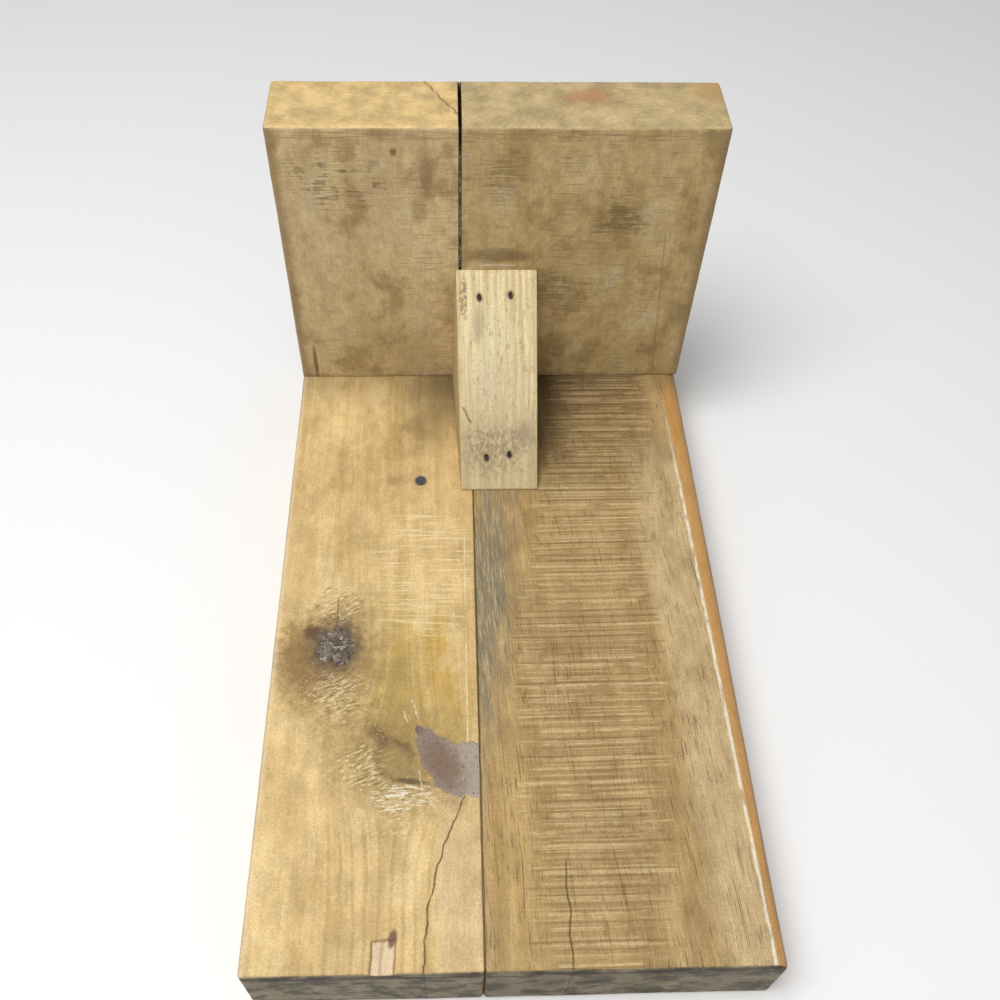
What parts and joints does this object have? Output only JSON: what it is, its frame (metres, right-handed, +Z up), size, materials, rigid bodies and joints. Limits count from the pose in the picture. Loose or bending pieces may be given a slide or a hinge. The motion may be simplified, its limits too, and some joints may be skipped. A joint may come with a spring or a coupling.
{
  "type": "wooden door stop",
  "caption": "Rustic L-shaped wooden floor stop: a two-board base, an upright panel and a wedge block that braces the corner.",
  "frame": {"origin": "on the floor under the middle of the base's length and width", "axes": "+X to the right, +Y towards the upright panel, +Z up"},
  "size_m": [0.2, 0.336, 0.185],
  "materials": {
    "honey_board": "matte",
    "sawn_board": "matte",
    "upright_wood": "matte",
    "brace_wood": "matte",
    "dowel_wood": "satin",
    "screw_steel": "satin",
    "old_steel": "matte",
    "knot_filler": "matte",
    "seam_filler": "matte"
  },
  "bodies": {
    "root": {"base_board_left": "honey_board", "base_board_right": "sawn_board", "upright_board_left": "upright_wood", "upright_board_right": "upright_wood", "corner_brace": "brace_wood", "base_edge_dowels": "dowel_wood", "upright_edge_dowels": "dowel_wood", "corner_screws_left": "screw_steel", "corner_screws_right": "screw_steel", "brace_top_pins": "screw_steel", "brace_bottom_pins": "screw_steel", "old_nail": "old_steel", "upper_knot_filler": "knot_filler", "lower_knot_filler": "knot_filler", "upright_seam_filler": "seam_filler"}
  },
  "joints": []
}
